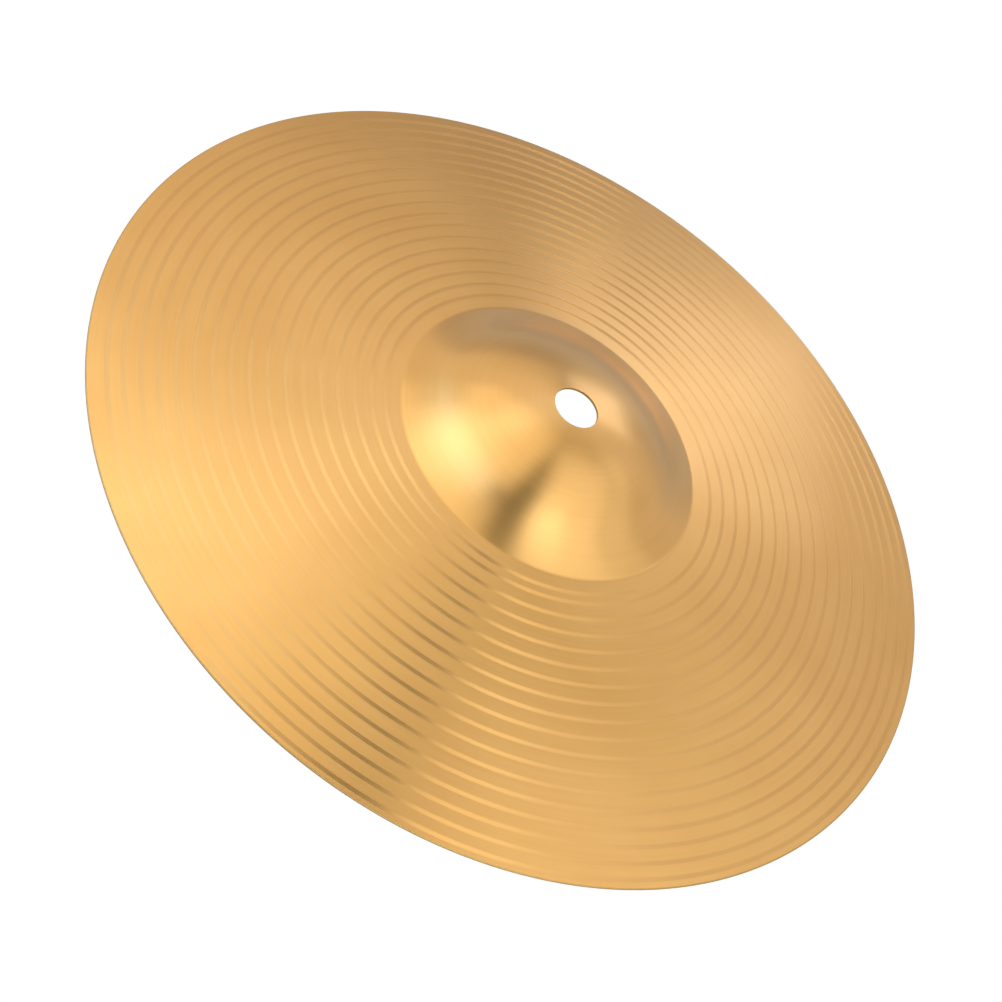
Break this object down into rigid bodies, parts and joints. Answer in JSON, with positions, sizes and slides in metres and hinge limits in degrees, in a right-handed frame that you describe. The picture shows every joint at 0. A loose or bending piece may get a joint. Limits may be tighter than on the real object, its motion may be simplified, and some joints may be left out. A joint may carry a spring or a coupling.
{
  "type": "crash cymbal",
  "caption": "Round brass cymbal: a shallow bowed plate with a raised bell, a mounting hole through its crown and a lathe groove round the bow; hangs on a stand's rod and rings when struck.",
  "frame": {"origin": "on the cymbal's axis, in the plane of the rim's lowest line", "axes": "+Z along the axis, up through the crown of the bell; X and Y are free, because the plate is round"},
  "size_m": [0.254, 0.254, 0.029],
  "materials": {
    "spun_brass": "lathe-turned sheet with fine circular brushing, satin gold lustre"
  },
  "bodies": {
    "root": {"cymbal": "spun_brass"}
  },
  "joints": []
}
